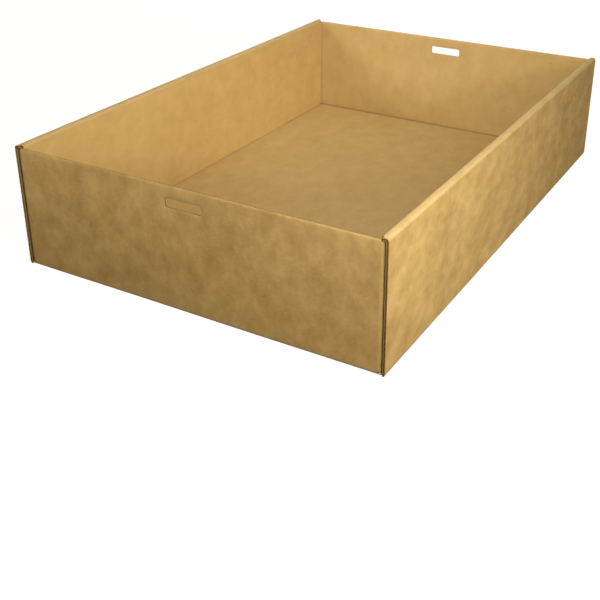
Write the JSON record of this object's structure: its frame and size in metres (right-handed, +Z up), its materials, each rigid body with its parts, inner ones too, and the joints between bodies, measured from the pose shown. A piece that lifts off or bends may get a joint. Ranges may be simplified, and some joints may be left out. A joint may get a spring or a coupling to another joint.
{
  "type": "cardboard tray box",
  "caption": "Open rectangular tray folded from one sheet of corrugated kraft board, with rolled double side walls, single end walls and a lid slot in each end.",
  "frame": {"origin": "on the ground, under the middle of the floor", "axes": "+Z up, Y along the tray with one end wall at -Y and the other at +Y, X across it to the rolled side walls"},
  "size_m": [0.25, 0.36, 0.08],
  "materials": {
    "kraft_board": "matte"
  },
  "bodies": {
    "root": {"tray": "kraft_board"}
  },
  "joints": []
}
